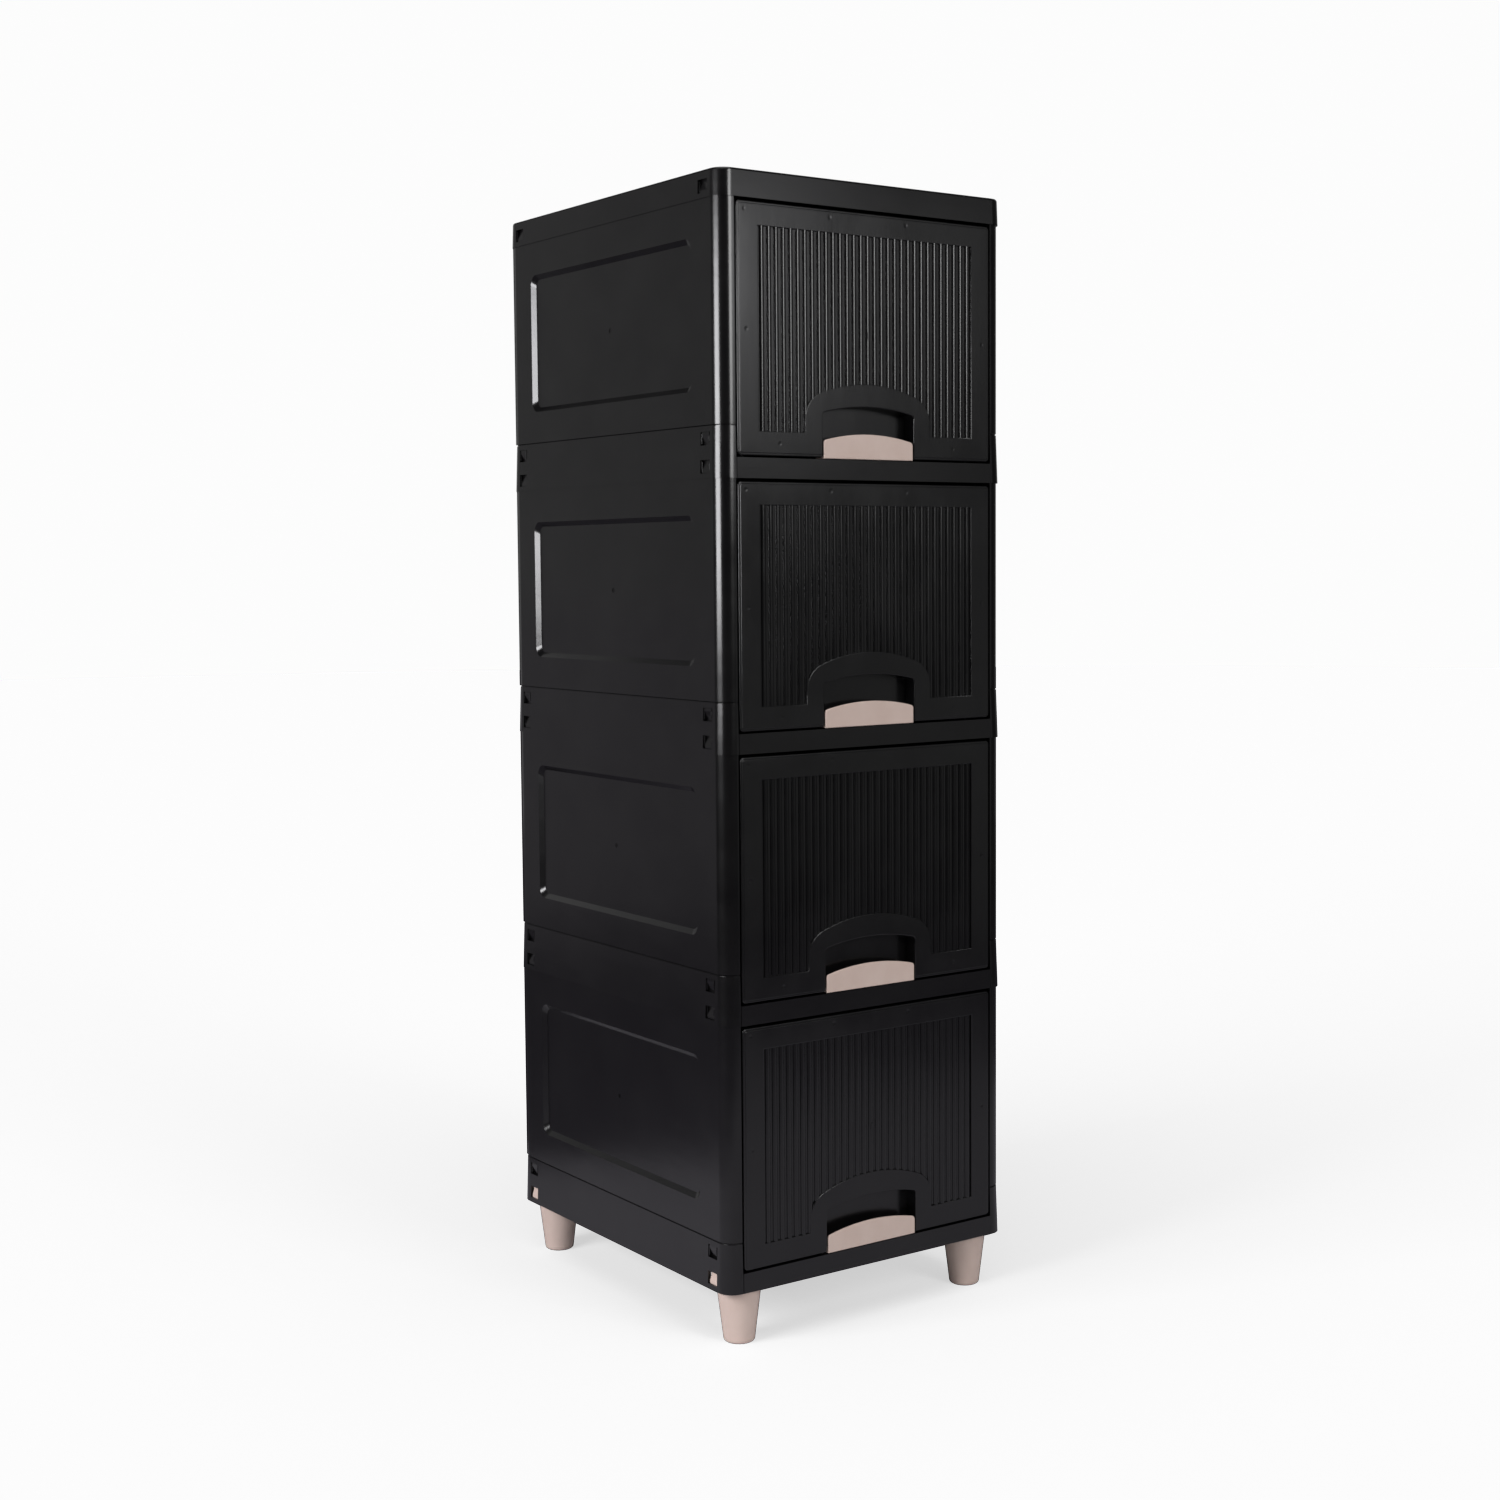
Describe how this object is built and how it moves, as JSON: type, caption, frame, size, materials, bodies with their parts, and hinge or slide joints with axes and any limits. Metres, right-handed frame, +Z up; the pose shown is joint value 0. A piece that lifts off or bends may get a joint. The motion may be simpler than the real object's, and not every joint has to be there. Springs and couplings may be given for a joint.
{
  "type": "drawer tower",
  "caption": "Tall free-standing tower of stacked plastic tiers on tapered feet, each tier with a reeded pull-out drawer and an arched finger handle.",
  "frame": {"origin": "on the floor, under the middle of the tower's box", "axes": "+Z up, -Y towards the front, where the drawers come out, +X to the right of someone who faces the front"},
  "size_m": [0.36, 0.42, 1.156],
  "materials": {
    "cabinet_black": "semi-gloss moulded plastic",
    "drawer_black": "satin moulded plastic",
    "rose_plastic": "satin dusty rose plastic"
  },
  "bodies": {
    "cabinet": {"lid": "cabinet_black", "shelf_frame_1": "cabinet_black", "shelf_frame_2": "cabinet_black", "shelf_frame_3": "cabinet_black", "base_frame": "cabinet_black", "left_panel_1": "cabinet_black", "right_panel_1": "cabinet_black", "left_panel_2": "cabinet_black", "right_panel_2": "cabinet_black", "left_panel_3": "cabinet_black", "right_panel_3": "cabinet_black", "left_panel_4": "cabinet_black", "right_panel_4": "cabinet_black", "back_panel_1": "cabinet_black", "back_panel_2": "cabinet_black", "back_panel_3": "cabinet_black", "back_panel_4": "cabinet_black", "foot_front_left": "rose_plastic", "foot_front_right": "rose_plastic", "foot_rear_left": "rose_plastic", "foot_rear_right": "rose_plastic"},
    "drawer_1": {"drawer_tray_1": "drawer_black", "drawer_front_1": "drawer_black", "handle_1": "rose_plastic"},
    "drawer_2": {"drawer_tray_2": "drawer_black", "drawer_front_2": "drawer_black", "handle_2": "rose_plastic"},
    "drawer_3": {"drawer_tray_3": "drawer_black", "drawer_front_3": "drawer_black", "handle_3": "rose_plastic"},
    "drawer_4": {"drawer_tray_4": "drawer_black", "drawer_front_4": "drawer_black", "handle_4": "rose_plastic"}
  },
  "joints": [
    {"name": "drawer_1_slide", "type": "slide", "parent": "cabinet", "child": "drawer_1", "axis": [0, -1, 0], "range_m": [0, 0.3]},
    {"name": "drawer_2_slide", "type": "slide", "parent": "cabinet", "child": "drawer_2", "axis": [0, -1, 0], "range_m": [0, 0.3]},
    {"name": "drawer_3_slide", "type": "slide", "parent": "cabinet", "child": "drawer_3", "axis": [0, -1, 0], "range_m": [0, 0.3]},
    {"name": "drawer_4_slide", "type": "slide", "parent": "cabinet", "child": "drawer_4", "axis": [0, -1, 0], "range_m": [0, 0.3]}
  ]
}
